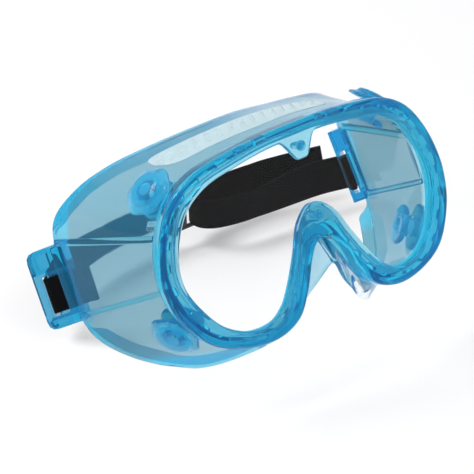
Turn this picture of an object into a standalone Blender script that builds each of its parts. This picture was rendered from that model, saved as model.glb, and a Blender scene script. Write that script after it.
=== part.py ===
"""Chemical-splash safety goggles with a head strap, modelled at their real size.

Every sub-part is built in the goggles' own upright frame, in millimetres: X to the
wearer's left as seen from the front, Y from the lens back to the face, Z up along the
lens. The whole assembly hangs from one empty, which leans it back onto its cheek edges
as it rests on a table and puts the origin under the middle of its bounding box.
"""

import math

import bmesh
import bpy
import numpy as np
from mathutils import Matrix, Vector

MM = 0.001
GAP = 0.3

# Pose on the table
REST_TILT = math.radians(24.4)
REST_FLAT = 1.0

# Lens and front rim
LENS_BEND_RADIUS = 300.0
LENS_THICKNESS = 2.0
LENS_IN_GROOVE = 2.8
GROOVE_DEPTH = 3.7
NOSE_GROOVE_EXTRA = 6.6
NOSE_GROOVE_HALF_WIDTH = 6.0
LIP_FRONT = -2.4
RIM_DEPTH = 8.6
TAB_DROP = 9.3
TAB_TIP_HALF_WIDTH = 2.0
TAB_HALF_WIDTH = 9.6
PEGS = {"top": 33.0, "nose": 2.4}
PEG_HOLE_RADIUS = 1.6
PEG_SHANK_RADIUS = 1.3
PEG_HEAD_RADIUS = 2.3
PEG_LENGTH_BEHIND = 3.9

# Skirt
WALL = 1.7
SKIRT_START = 0.64
SKIRT_SHARES = (0.16, 0.42, 0.72)
FACE_FLANGE = 4.2
STEPS_FIRST_SPAN = 6
STEPS_PER_SPAN = 3

# Vents: place on the skirt (station, share of the way back), and sizes
VENTS = {"top": (3.85, 0.2), "bottom": (8.72, 0.2)}
VENT_FORWARD_LEAN = 0.08
VENT_HOLE_RADIUS = 5.0
CAP_RADIUS = 11.5
CAP_DOME_RADIUS = 8.2
CAP_STANDOFF = 3.6
CAP_STEM_RADIUS = 4.2
CAP_BORE_RADIUS = 2.9
SEAT_RADIUS = 9.0
SEAT_BORE_RADIUS = 4.6
SEAT_THICKNESS = 3.0
SEAT_SETBACK = 2.1

# Strap ears, measured along, up and out of each ear
EAR_ORIGIN = Vector((79.75, 83.85, -4.3))
EAR_ALONG = Vector((0.641, 0.754, -0.146))
EAR_UP = Vector((-0.025, 0.153, 0.988))
EAR_LENGTH = 15.5
EAR_FRONT = -3.5
EAR_TOP = 17.0
EAR_BOTTOM = -18.5
EAR_OUT = 0.6
EAR_IN = -6.3
SLOT_OUT = -1.7
SLOT_IN = -4.3
SLOT_TOP = 6.5
SLOT_BOTTOM = -14.5
WINDOW = (4.6, 11.6)
INNER_PLATE_END = 10.6
RIDGE = (0.2, 3.8)
RIDGE_OUT = 2.4
RIB_WIDTH = 2.4
RIB_OUT = 1.7
RIB_IN = -1.2

# Strap, with its routes as (x, y) seen from above in the resting pose, level with the table
STRAP_WIDTH = 16.0
STRAP_THICKNESS = 1.3
STRAP_IN_EAR_UP = -4.0
STRAP_IN_EAR_OUT = 0.5 * (SLOT_OUT + SLOT_IN)
STRAP_LEVEL = -49.5
STRAP_STEP = 2.6
STRAP_HINGE = (87.2, -49.5)
STRAP_SPLIT = 80.0
STRAP_JOINT_GAP = 0.8
STRAP_TWIST_LENGTH = 30.0
HEM_LENGTH = 6.0
HEM_THICKNESS = 3.4
HEM_AHEAD = 3.5
LEFT_ROUTE = (
    (67, 87.0), (51, 87.8), (34, 87.6), (24, 88.4), (13, 91.2), (7.2, 95.2), (5.2, 99.4), (5.6, 103.6),
    (8.4, 106.6), (13, 107.4), (20, 107.6), (31, 107.6), (45, 106.2), (58, 102.8), (70, 99.4), (79, 97.0),
)
RIGHT_ROUTE = (
    (-70, 95.2), (-63, 99.6), (-52, 103.0), (-39, 105.2), (-26, 106.6), (-14, 107.2), (-8.4, 107.1),
)

# Slider: a flat plate with two windows between three bars, its middle at (x, y)
SLIDER_PLACE = (1.9, 103.6)
SLIDER_BAR_OFFSETS = (-7.2, 0.2, 7.6)
SLIDER_BAR = 2.2
SLIDER_THICKNESS = 1.8
SLIDER_WINDOW_HEIGHT = 17.2
SLIDER_HEIGHT = 21.0

# Front rim and face edge of one half, from the top centre round to the nose:
# opening (x, z), rim outside (x, z), face edge (x, y, z)
HALF_OUTLINE = (
    ((0, 36.5), (0, 43.0), (0, 66, 43)),
    ((15, 36.3), (16, 42.6), (18, 69.5, 42)),
    ((30, 34.3), (33, 41.0), (34, 73, 40.2)),
    ((45, 31.0), (50, 37.6), (50, 76, 38)),
    ((56, 24.0), (62, 30.5), (66, 76.5, 34.3)),
    ((62.5, 14.0), (70, 19.0), (77, 83.5, 24.5)),
    ((66, 3.0), (74.5, 6.0), (79.5, 87, 11.5)),
    ((66, -7.0), (75.3, -6.0), (80.2, 84, -6)),
    ((62, -17.0), (72, -19.0), (80.5, 81, -20)),
    ((55, -27.0), (62.5, -32.8), (76, 76, -34)),
    ((45, -32.8), (49, -39.6), (64, 63, -46.5)),
    ((34, -33.4), (33.5, -41.4), (48, 48, -54.5)),
    ((26.5, -29.0), (21, -36.8), (34, 34, -52.5)),
    ((20.5, -20.5), (13.3, -26.3), (23.5, 23, -43.5)),
    ((14.5, -9.5), (8.2, -15.6), (15.5, 15.5, -32)),
    ((8.8, 2.0), (4.0, -9.4), (8, 11, -25)),
    ((0, 8.2), (0, -8.0), (0, 9, -21.5)),
)
LAST = len(HALF_OUTLINE) - 1


# ---------------------------------------------------------------- geometry helpers

def closed_curve(half, station):
    """A smooth closed curve through a mirrored half outline, at a station counted in points."""
    count = 2 * LAST

    def point(index):
        index %= count
        if index <= LAST:
            return np.array(half[index], float)
        mirrored = np.array(half[count - index], float)
        mirrored[0] = -mirrored[0]
        return mirrored

    base = math.floor(station)
    f = station - base
    before, start, end, after = (point(base + k) for k in (-1, 0, 1, 2))
    return start + 0.5 * f * (
        end - before
        + f * (2 * before - 5 * start + 4 * end - after + f * (3 * (start - end) + after - before))
    )


OPENING = [row[0] for row in HALF_OUTLINE]
OUTSIDE = [row[1] for row in HALF_OUTLINE]
FACE_EDGE = [row[2] for row in HALF_OUTLINE]


def on_lens(u, v, depth):
    """A point at arc length u and height v on the lens's front surface, depth behind it."""
    angle = u / LENS_BEND_RADIUS
    radius = LENS_BEND_RADIUS - depth
    return Vector((radius * math.sin(angle), LENS_BEND_RADIUS - radius * math.cos(angle), v))


def rim_point(station, out, depth):
    """A point on the rim, out millimetres outside the opening's edge and depth behind the lens."""
    edge = closed_curve(OPENING, station)
    away = closed_curve(OUTSIDE, station) - edge
    place = edge + away * out / np.linalg.norm(away)
    return on_lens(place[0], place[1], depth)


def rim_width(station):
    return float(np.linalg.norm(closed_curve(OUTSIDE, station) - closed_curve(OPENING, station)))


def face_edge(station):
    return Vector(closed_curve(FACE_EDGE, station))


def skirt_outside(station, share):
    """A point on the skirt's outer surface, share of the way from the rim to the face edge."""
    start = rim_point(station, SKIRT_START * rim_width(station), RIM_DEPTH)
    return start.lerp(face_edge(station), share)


def skirt_normal(station):
    """The direction out of the skirt's wall at a station."""
    edge = closed_curve(OPENING, station)
    away = closed_curve(OUTSIDE, station) - edge
    outward = Vector((away[0], 0, away[1])).normalized()
    back = (face_edge(station) - skirt_outside(station, 0)).normalized()
    return (outward - outward.dot(back) * back).normalized()


def bump(x, half_width):
    """1 in the middle, falling smoothly to 0 at half_width."""
    return 0.5 + 0.5 * math.cos(math.pi * min(abs(x) / half_width, 1.0))


def mesh_object(name, points, faces, material=None):
    mesh = bpy.data.meshes.new(name)
    mesh.from_pydata([tuple(c * MM for c in p) for p in points], [], faces)
    work = bmesh.new()
    work.from_mesh(mesh)
    bmesh.ops.recalc_face_normals(work, faces=work.faces)
    work.to_mesh(mesh)
    work.free()
    thing = bpy.data.objects.new(name, mesh)
    bpy.context.scene.collection.objects.link(thing)
    if material:
        mesh.materials.append(material)
    mesh.shade_smooth()
    mesh.set_sharp_from_angle(angle=math.radians(35))
    return thing


def swept_ring(name, sections, material=None):
    """A closed body from closed sections set round a closed loop."""
    count = len(sections[0])
    points = [p for section in sections for p in section]
    faces = []
    for i in range(len(sections)):
        j = (i + 1) % len(sections)
        for k in range(count):
            n = (k + 1) % count
            faces.append((i * count + k, j * count + k, j * count + n, i * count + n))
    return mesh_object(name, points, faces, material)


def swept_bar(name, sections, material=None):
    """A closed body from closed sections set along an open path, with its ends filled."""
    count = len(sections[0])
    points = [p for section in sections for p in section]
    faces = [tuple(range(count)), tuple(range(len(points) - count, len(points)))[::-1]]
    for i in range(len(sections) - 1):
        for k in range(count):
            n = (k + 1) % count
            faces.append((i * count + k, i * count + n, (i + 1) * count + n, (i + 1) * count + k))
    return mesh_object(name, points, faces, material)


def turned(name, profile, base, axis, steps, material=None):
    """A body turned round an axis: profile is (radius, height) pairs, 0 radius closing an end."""
    frame = axis.to_track_quat("Z", "Y").to_matrix()
    points = []
    rings = []
    for radius, height in profile:
        if radius == 0:
            rings.append([len(points)])
            points.append(base + frame @ Vector((0, 0, height)))
            continue
        rings.append(list(range(len(points), len(points) + steps)))
        for k in range(steps):
            angle = 2 * math.pi * k / steps
            spot = Vector((radius * math.cos(angle), radius * math.sin(angle), height))
            points.append(base + frame @ spot)
    faces = []
    closing = profile[0][0] != 0
    pairs = list(zip(rings, rings[1:])) + ([(rings[-1], rings[0])] if closing else [])
    for low, high in pairs:
        for k in range(steps):
            n = (k + 1) % steps
            if len(low) == 1:
                faces.append((low[0], high[k], high[n]))
            elif len(high) == 1:
                faces.append((low[k], low[n], high[0]))
            else:
                faces.append((low[k], low[n], high[n], high[k]))
    return mesh_object(name, points, faces, material)


def combine(target, tool, operation):
    """Cut a helper out of a target, or join it on, and hide the helper."""
    modifier = target.modifiers.new(f"{operation.lower()} {tool.name}", "BOOLEAN")
    modifier.operation = operation
    modifier.solver = "EXACT"
    modifier.object = tool
    tool.hide_render = True
    tool.hide_viewport = False
    tool.display_type = "WIRE"


def plastic(name, colour, roughness, alpha=1.0):
    material = bpy.data.materials.new(name)
    material.use_nodes = True
    shader = material.node_tree.nodes["Principled BSDF"]
    shader.inputs["Base Color"].default_value = (*colour, 1)
    shader.inputs["Roughness"].default_value = roughness
    shader.inputs["Metallic"].default_value = 0
    shader.inputs["Alpha"].default_value = alpha
    return material


# ---------------------------------------------------------------- ears

def ear_frame(side):
    """Origin and along, up and out directions of the strap ear on one side."""
    flip = Vector((side, 1, 1))
    along = (EAR_ALONG * flip).normalized()
    up = (EAR_UP * flip).normalized()
    out = EAR_ALONG.cross(EAR_UP).normalized() * flip
    return EAR_ORIGIN * flip, along, up, out


def ear_point(side, along, up, out):
    origin, a, h, n = ear_frame(side)
    return origin + a * along + h * up + n * out


def ear_box(name, side, along, up, out):
    """A box in an ear's own directions, from (low, high) pairs."""
    sections = []
    for a in along:
        corners = ((up[0], out[0]), (up[1], out[0]), (up[1], out[1]), (up[0], out[1]))
        sections.append([ear_point(side, a, h, n) for h, n in corners])
    return swept_bar(name, sections)


def make_ear(side, tag):
    """A strap ear: a flat sleeve whose outer wall has a window, and which the strap runs through."""
    ear = ear_box(f"ear_{tag}", side, (EAR_FRONT, EAR_LENGTH), (EAR_BOTTOM, EAR_TOP), (EAR_IN, EAR_OUT))
    bevel = ear.modifiers.new("rounded", "BEVEL")
    bevel.width = 1.2 * MM
    bevel.segments = 2
    slot = ear_box(f"ear_slot_{tag}", side, (-9, 25), (SLOT_BOTTOM, SLOT_TOP), (SLOT_IN, SLOT_OUT))
    window = ear_box(f"ear_window_{tag}", side, WINDOW, (SLOT_BOTTOM + 1.4, SLOT_TOP - 1.4), (SLOT_OUT - 1, 5))
    turn = ear_box(f"ear_turn_{tag}", side, (INNER_PLATE_END, 25), (SLOT_BOTTOM, SLOT_TOP), (-12, SLOT_IN + 1))
    for tool in (slot, window, turn):
        combine(ear, tool, "DIFFERENCE")
    return ear


def make_rib(name, start, end, out):
    """A straight raised rib on the skirt between two points of its surface."""
    along = (end - start).normalized()
    across = along.cross(out).normalized() * RIB_WIDTH / 2
    sections = []
    for place in (start, end):
        sections.append([
            place + across + out * RIB_IN,
            place + across + out * RIB_OUT,
            place - across + out * RIB_OUT,
            place - across + out * RIB_IN,
        ])
    return swept_bar(name, sections)


def panel_ribs(side, tag):
    """The frame of ribs round each temple panel, and the thicker ridge where the ear starts."""
    def place(station, share):
        spot = skirt_outside(station, share)
        return Vector((side * spot.x, spot.y, spot.z))

    outward = skirt_normal(6.6)
    out = Vector((side * outward.x, outward.y, outward.z))
    top_front, top_back = place(5.25, 0.04), place(5.86, 0.95)
    low_front, low_back = place(7.15, 0.04), place(8.0, 0.95)
    ridge = ear_box(f"ear_ridge_{tag}", side, RIDGE, (EAR_BOTTOM + 1, EAR_TOP - 1), (SLOT_OUT + 0.6, RIDGE_OUT))
    return [
        make_rib(f"rib_top_{tag}", top_front, top_back, out),
        make_rib(f"rib_low_{tag}", low_front, low_back, out),
        make_rib(f"rib_front_{tag}", top_front, low_front, out),
        ridge,
    ]


# ---------------------------------------------------------------- sub-parts

def stations():
    """Places round the loop, closer together at the top centre, where the lens tab is."""
    half = [k / STEPS_FIRST_SPAN for k in range(STEPS_FIRST_SPAN)]
    half += [1 + k / STEPS_PER_SPAN for k in range((LAST - 1) * STEPS_PER_SPAN)]
    mirrored = [2 * LAST - s for s in half[:0:-1]]
    return half + [float(LAST)] + mirrored


def folded(station):
    """The station of the same place on the first half."""
    return station if station <= LAST else 2 * LAST - station


def groove_depth(station):
    x = closed_curve(OPENING, station)[0]
    at_nose = bump(x, 2 * NOSE_GROOVE_HALF_WIDTH) if folded(station) > LAST - 2 else 0
    return GROOVE_DEPTH + NOSE_GROOVE_EXTRA * at_nose


def frame_section(station):
    """The body's closed section: front lip, lens groove, rim, thin skirt wall and face flange."""
    width = rim_width(station)
    x = closed_curve(OPENING, station)[0]
    at_top = folded(station) < 2
    from_tip = max(abs(x) - TAB_TIP_HALF_WIDTH, 0)
    drop = TAB_DROP * bump(from_tip, TAB_HALF_WIDTH - TAB_TIP_HALF_WIDTH) if at_top else 0
    groove = groove_depth(station)
    lens_front, lens_back = -0.35, LENS_THICKNESS + 0.35
    normal = skirt_normal(station)
    edge = face_edge(station)
    back = (edge - skirt_outside(station, 0)).normalized()
    near_ear = 5.3 < folded(station) < 8.7
    flange = 0.3 if near_ear else FACE_FLANGE
    inner_start = SKIRT_START * width - WALL - 0.2

    section = [
        rim_point(station, 0.15 - drop, lens_front),
        rim_point(station, 0.0 - drop, -1.4),
        rim_point(station, 0.9 - drop, LIP_FRONT),
        rim_point(station, width - 1.2, LIP_FRONT + 0.2),
        rim_point(station, width, -0.9),
        rim_point(station, width, RIM_DEPTH - 1.0),
        rim_point(station, width - 0.9, RIM_DEPTH),
        skirt_outside(station, 0),
    ]
    section += [skirt_outside(station, share) for share in SKIRT_SHARES]
    section += [
        edge,
        edge - normal * flange + back * 0.8,
        edge - normal * (flange + 0.2) - back * 0.7,
    ]
    if not near_ear:
        section.append(edge - normal * WALL - back * 1.4)
    else:
        section.append(edge - normal * WALL - back * 2.4)
    section += [skirt_outside(station, share) - normal * WALL for share in SKIRT_SHARES[::-1]]
    section += [
        rim_point(station, inner_start, RIM_DEPTH),
        rim_point(station, inner_start - 0.3, 4.9),
        rim_point(station, 0.9, 4.5),
        rim_point(station, 0.8, lens_back),
        rim_point(station, groove, lens_back),
        rim_point(station, groove, lens_front),
    ]
    return section


def make_frame(material):
    """The one-piece soft body: rim, skirt, temple panels and strap ears."""
    frame = swept_ring("frame_body", [frame_section(s) for s in stations()], material)
    for side, tag in ((1, "left"), (-1, "right")):
        for tool in [make_ear(side, tag)] + panel_ribs(side, tag):
            combine(frame, tool, "UNION")
        for name in VENTS:
            base, axis = vent_place(name, side)
            profile = ((0, -14), (VENT_HOLE_RADIUS, -14), (VENT_HOLE_RADIUS, 14), (0, 14))
            hole = turned(f"vent_hole_{name}_{tag}", profile, base, axis, 24)
            combine(frame, hole, "DIFFERENCE")
    for name in PEGS:
        combine(frame, peg_hole(f"peg_hole_{name}", name), "DIFFERENCE")
    return frame


def peg_hole(name, peg):
    """A cutter for the hole that one peg goes through."""
    profile = ((0, -9), (PEG_HOLE_RADIUS, -9), (PEG_HOLE_RADIUS, 12), (0, 12))
    return turned(name, profile, Vector((0, 0, PEGS[peg])), Vector((0, 1, 0)), 16)


def lens_outline():
    """The lens's edge (u, v), a little inside the groove all the way round."""
    outline = []
    for station in stations():
        reach = groove_depth(station) - GROOVE_DEPTH + LENS_IN_GROOVE
        edge = closed_curve(OPENING, station)
        away = closed_curve(OUTSIDE, station) - edge
        outline.append(edge + away * reach / np.linalg.norm(away))
    return np.array(outline)


def make_lens(material):
    """The clear lens: a sheet bent about a vertical axis, cut to the groove's outline."""
    outline = lens_outline()
    reach = float(outline[:, 0].max())
    columns = [reach * math.sin(0.5 * math.pi * k / 28) * 0.9995 for k in range(-28, 29)]
    sections = []
    for u in columns:
        heights = []
        for (u0, v0), (u1, v1) in zip(outline, np.roll(outline, -1, axis=0)):
            if (u0 - u) * (u1 - u) < 0 or u0 == u:
                share = 0.0 if u0 == u else (u - u0) / (u1 - u0)
                heights.append(v0 + share * (v1 - v0))
        low, high = min(heights), max(heights)
        high = max(high, low + 0.4)
        corners = ((low, 0.0), (high, 0.0), (high, LENS_THICKNESS), (low, LENS_THICKNESS))
        sections.append([on_lens(u, v, depth) for v, depth in corners])
    lens = swept_bar("lens", sections, material)
    for name in PEGS:
        combine(lens, peg_hole(f"lens_hole_{name}", name), "DIFFERENCE")
    return lens


def make_peg(name, height, material):
    """A push-in peg that holds the lens to the frame: a low domed head and a plain shank."""
    under_head = GAP - LIP_FRONT
    profile = (
        (0, under_head + 1.2), (1.4, under_head + 1.0), (PEG_HEAD_RADIUS, under_head),
        (PEG_SHANK_RADIUS, under_head), (PEG_SHANK_RADIUS, -PEG_LENGTH_BEHIND), (0, -PEG_LENGTH_BEHIND),
    )
    return turned(name, profile, Vector((0, 0, height)), Vector((0, -1, 0)), 16, material)


def vent_place(name, side):
    """A vent's centre on the skirt's outer surface, and its axis pointing out."""
    station, share = VENTS[name]
    base = skirt_outside(station, share)
    axis = skirt_normal(station) - Vector((0, VENT_FORWARD_LEAN, 0))
    flip = Vector((side, 1, 1))
    return base * flip, (axis * flip).normalized()


def set_origin(thing, place):
    """Move an object's origin without moving its mesh."""
    thing.data.transform(Matrix.Translation(-place * MM))
    thing.location = place * MM


def make_vent(name, side, tag, cap_material, seat_material):
    """A mushroom cap standing off the skirt on a hollow stem, and the ring that seats it inside."""
    base, axis = vent_place(name, side)
    foot = -WALL - SEAT_THICKNESS - SEAT_SETBACK
    profile = (
        (CAP_STEM_RADIUS, foot), (CAP_STEM_RADIUS, CAP_STANDOFF - 0.6),
        (CAP_RADIUS - 0.8, CAP_STANDOFF - 1.8), (CAP_RADIUS, CAP_STANDOFF - 1.4),
        (CAP_RADIUS - 0.4, CAP_STANDOFF - 0.4), (CAP_DOME_RADIUS, CAP_STANDOFF + 0.6),
        (CAP_DOME_RADIUS - 1.0, CAP_STANDOFF + 2.2), (CAP_DOME_RADIUS - 4.5, CAP_STANDOFF + 2.9),
        (0, CAP_STANDOFF + 3.0),
    )
    inside = ((0, CAP_STANDOFF + 0.8), (CAP_BORE_RADIUS, CAP_STANDOFF + 0.6), (CAP_BORE_RADIUS, foot))
    cap = turned(f"vent_cap_{name}_{tag}", inside + profile, base, axis, 28, cap_material)
    set_origin(cap, base)
    low, high = -WALL - GAP - SEAT_THICKNESS, -WALL - GAP
    rounded = 0.9
    ring = ((SEAT_BORE_RADIUS, low + 0.4), (SEAT_RADIUS - rounded, low), (SEAT_RADIUS, low + rounded),
            (SEAT_RADIUS, high - 0.5), (SEAT_RADIUS - 0.5, high), (SEAT_BORE_RADIUS, high))
    seat = turned(f"vent_seat_{name}_{tag}", ring, base - axis * SEAT_SETBACK, axis, 28, seat_material)
    return [cap, seat]


# ---------------------------------------------------------------- strap

def level(x, y, z):
    """A point given in the resting pose, from the lens's middle, in the goggles' own frame."""
    return Vector((
        x,
        y * math.cos(REST_TILT) - z * math.sin(REST_TILT),
        y * math.sin(REST_TILT) + z * math.cos(REST_TILT),
    ))


def smooth_path(points, step):
    """Points about a step apart on a smooth curve through the given ones."""
    ends = [2 * points[0] - points[1]] + list(points) + [2 * points[-1] - points[-2]]
    path = []
    for before, start, end, after in zip(ends, ends[1:], ends[2:], ends[3:]):
        count = max(1, round((end - start).length / step))
        for k in range(count):
            f = k / count
            path.append(start + 0.5 * f * (
                end - before
                + f * (2 * before - 5 * start + 4 * end - after + f * (3 * (start - end) + after - before))
            ))
    return path + [points[-1]]


def upright(side, place):
    """The direction a strap's width takes: the ear's own up in the ear, straight up in the free stretch."""
    origin, _, ear_up, _ = ear_frame(side)
    away = (place - origin).length - 1.3 * EAR_LENGTH
    share = min(max(away / STRAP_TWIST_LENGTH, 0.0), 1.0)
    return ear_up.lerp(level(0, 0, 1), share)


def band(name, side, path, half_thickness, cut, material):
    """A flat band standing on edge along a path, its section square to X at the point called cut.

    half_thickness gives (inner, outer) at each point.
    """
    sections = []
    last = len(path) - 1
    half = STRAP_WIDTH / 2
    for i, place in enumerate(path):
        heading = (path[min(i + 1, last)] - path[max(i - 1, 0)]).normalized()
        width = upright(side, place)
        up = (width - width.dot(heading) * heading).normalized()
        across = heading.cross(up)
        if i == cut:
            up -= heading * (up.x / heading.x)
            across -= heading * (across.x / heading.x)
        low, high = half_thickness(i)
        chamfer = 0.3
        corners = (
            (-half, low + chamfer), (-half, high - chamfer), (-half + chamfer, high), (half - chamfer, high),
            (half, high - chamfer), (half, low + chamfer), (half - chamfer, low), (-half + chamfer, low),
        )
        sections.append([place + h * up + t * across for h, t in corners])
    return swept_bar(name, sections, material)


def ear_path(side):
    """The strap's way from its hem, along the panel, through the sleeve and round the inner plate."""
    def spot(along, out):
        return ear_point(side, along, STRAP_IN_EAR_UP, out)

    turn_out = SLOT_IN - 1.0
    turn_radius = STRAP_IN_EAR_OUT - turn_out
    start = spot(EAR_FRONT - 3, STRAP_IN_EAR_OUT)
    hem = Vector((start.x - side * 1.3, start.y - HEM_AHEAD, start.z + 0.4))
    bend = hem.lerp(start, 0.7)
    points = [hem, bend, start]
    points += [spot(along, STRAP_IN_EAR_OUT) for along in (EAR_FRONT, 0, 4, 8, INNER_PLATE_END - 0.4)]
    for degrees in (-50, -10, 20):
        angle = math.radians(degrees)
        points.append(spot(
            INNER_PLATE_END + turn_radius * math.cos(angle),
            turn_out - turn_radius * math.sin(angle),
        ))
    return points


def make_strap(side, tag, route, material):
    """One strap: its sewn end in the ear, and the free stretch that swings with the slider."""
    across = [level(x, y, STRAP_LEVEL) for x, y in route]
    path = smooth_path(ear_path(side) + across, STRAP_STEP)
    split = next(i for i, p in enumerate(path) if p.y > EAR_ORIGIN.y + 8 and abs(p.x) < STRAP_SPLIT)
    gap = Vector((side * STRAP_JOINT_GAP / 2, 0, 0))
    held = path[:split] + [path[split] + gap]
    free = [path[split] - gap] + path[split + 1:]
    plain = STRAP_THICKNESS / 2
    hem_points = sum(1 for p in held if (p - held[0]).length < HEM_LENGTH)

    def held_thickness(i):
        extra = HEM_THICKNESS - STRAP_THICKNESS if i < hem_points else 0
        return (-plain - extra, plain) if side > 0 else (-plain, plain + extra)

    end = band(f"strap_end_{tag}", side, held, held_thickness, len(held) - 1, material)
    strap = band(f"head_strap_{tag}", side, free, lambda i: (-plain, plain), 0, material)
    set_origin(strap, level(0, *STRAP_HINGE))
    return [end, strap]


def make_slider(material):
    """The strap adjuster: three upright bars between two rails."""
    x, y = SLIDER_PLACE
    half = SLIDER_THICKNESS / 2
    left = SLIDER_BAR_OFFSETS[0] - SLIDER_BAR / 2
    right = SLIDER_BAR_OFFSETS[2] + SLIDER_BAR / 2

    def box(name, xs, zs, ys, colour=None):
        sections = []
        for offset in xs:
            corners = ((ys[0], zs[0]), (ys[1], zs[0]), (ys[1], zs[1]), (ys[0], zs[1]))
            sections.append([level(x + offset, y + dy, STRAP_LEVEL + dz) for dy, dz in corners])
        return swept_bar(name, sections, colour)

    slider = box("strap_slider", (left, right), (-SLIDER_HEIGHT / 2, SLIDER_HEIGHT / 2), (-half, half), material)
    bevel = slider.modifiers.new("rounded", "BEVEL")
    bevel.width = 0.5 * MM
    bevel.segments = 1
    tall = SLIDER_WINDOW_HEIGHT / 2
    for k in (0, 1):
        edges = (SLIDER_BAR_OFFSETS[k] + SLIDER_BAR / 2, SLIDER_BAR_OFFSETS[k + 1] - SLIDER_BAR / 2)
        window = box(f"slider_window_{k}", edges, (-tall, tall), (-6, 6))
        combine(slider, window, "DIFFERENCE")
    set_origin(slider, level(0, *STRAP_HINGE))
    return slider


# ---------------------------------------------------------------- assembly

def rest_height(place):
    """Height in the resting pose, from the lens's middle."""
    return place.z * math.cos(REST_TILT) - place.y * math.sin(REST_TILT)


def trim_cheeks(frame, table):
    """Flatten the lowest edge of each cheek where it stands on the table."""
    sections = []
    for x in (-120, 120):
        corners = ((-90, table - 60), (160, table - 60), (160, table), (-90, table))
        sections.append([level(x, y, z) for y, z in corners])
    combine(frame, swept_bar("table_cut", sections), "DIFFERENCE")


def stand_up(parts, table):
    """Lean the assembly back onto its cheeks and put the origin under the middle of its box."""
    holder = bpy.data.objects.new("resting_pose", None)
    bpy.context.scene.collection.objects.link(holder)
    holder.rotation_euler = (-REST_TILT, 0, 0)
    for thing in bpy.data.objects:
        if thing is not holder:
            thing.parent = holder
    bpy.context.view_layer.update()
    graph = bpy.context.evaluated_depsgraph_get()
    depths = []
    for part in parts:
        shape = part.evaluated_get(graph)
        mesh = shape.to_mesh()
        depths += [(shape.matrix_world @ vertex.co).y for vertex in mesh.vertices]
        shape.to_mesh_clear()
    holder.location = (0, -0.5 * (min(depths) + max(depths)), -table * MM)


def build():
    for thing in list(bpy.data.objects):
        bpy.data.objects.remove(thing, do_unlink=True)
    blue = plastic("blue_pvc", (0.02, 0.42, 0.75), 0.2, 0.6)
    clear = plastic("clear_polycarbonate", (0.9, 0.95, 0.97), 0.05, 0.25)
    elastic = plastic("black_elastic", (0.012, 0.012, 0.014), 0.85)
    black = plastic("black_nylon", (0.02, 0.02, 0.022), 0.4)
    frame = make_frame(blue)
    table = min(rest_height(face_edge(s)) for s in stations()) + REST_FLAT
    trim_cheeks(frame, table)
    parts = [frame, make_lens(clear)]
    parts += [make_peg(f"lens_peg_{name}", height, clear) for name, height in PEGS.items()]
    for side, tag in ((1, "left"), (-1, "right")):
        for name in VENTS:
            parts += make_vent(name, side, tag, blue, blue)
    parts += make_strap(1, "left", LEFT_ROUTE, elastic)
    parts += make_strap(-1, "right", RIGHT_ROUTE, elastic)
    parts.append(make_slider(black))
    stand_up(parts, table)
    return parts


build()
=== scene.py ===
"""Safety goggles standing on a table: the looks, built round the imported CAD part.

Shapes are worked out in the goggles' own upright frame, in millimetres: X to the wearer's left, Y from
the lens back to the face, Z up along the lens. TO_TABLE leans that frame back onto the cheeks.
"""

import math

import bmesh
import bpy
import numpy as np
from mathutils import Matrix, Vector


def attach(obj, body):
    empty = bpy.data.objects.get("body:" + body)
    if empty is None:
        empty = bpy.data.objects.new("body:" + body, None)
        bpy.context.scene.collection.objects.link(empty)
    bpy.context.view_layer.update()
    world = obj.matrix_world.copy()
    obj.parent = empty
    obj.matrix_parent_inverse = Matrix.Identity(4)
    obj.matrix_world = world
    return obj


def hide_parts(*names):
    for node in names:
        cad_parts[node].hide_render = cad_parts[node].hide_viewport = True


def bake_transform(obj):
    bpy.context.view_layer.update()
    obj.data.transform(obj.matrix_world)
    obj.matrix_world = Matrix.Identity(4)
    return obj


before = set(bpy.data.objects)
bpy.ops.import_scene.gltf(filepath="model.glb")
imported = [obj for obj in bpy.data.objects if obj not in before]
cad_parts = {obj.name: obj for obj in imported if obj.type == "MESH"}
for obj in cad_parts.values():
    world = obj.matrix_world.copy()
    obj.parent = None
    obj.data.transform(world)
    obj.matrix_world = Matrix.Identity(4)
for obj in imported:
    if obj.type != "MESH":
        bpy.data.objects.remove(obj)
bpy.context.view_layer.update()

# Pose on the table
REST_TILT = math.radians(24.4)
LENS_PLACE = Vector((0, -0.04569, 0.068925))
TO_TABLE = Matrix.Translation(LENS_PLACE) @ Matrix.Rotation(-REST_TILT, 4, "X") @ Matrix.Scale(0.001, 4)

# Lens and front rim
LENS_BEND_RADIUS = 300.0
LENS_THICKNESS = 2.0
LENS_IN_GROOVE = 2.8
GROOVE_DEPTH = 3.7
NOSE_GROOVE_EXTRA = 6.6
NOSE_GROOVE_HALF_WIDTH = 6.0
LIP_FRONT = -2.4
RIM_DEPTH = 8.6
TAB_DROP = 9.3
TAB_TIP_HALF_WIDTH = 2.0
TAB_HALF_WIDTH = 9.6
PEG_TOP_HEIGHT = 33.0
PEG_NOSE_HEIGHT = 2.4
PEG_HOLE = ((0, -9), (1.6, -9), (1.6, 12), (0, 12))
GROOVE_PLAY = 0.35
POCKET_DEPTH = 1.3
POCKET_PITCH = 9.0
POCKET_LENGTH = 5.6

# Skirt
WALL = 1.1
SKIRT_START = 0.64
FACE_FLANGE = 6.0
FACE_LIP = 0.4
SKIRT_SHARES = (0.05, 0.12, 0.2, 0.3, 0.4, 0.5, 0.6, 0.7, 0.8, 0.88, 0.94)

# Where the face edge's deeper blue begins: this far below the lens's middle, or this far back at the
# centre and FACE_EDGE_SWEEP millimetres more for each millimetre aside
FACE_EDGE_DROP = 47.0
FACE_EDGE_BACK = 61.0
FACE_EDGE_SWEEP = 0.2

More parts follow.
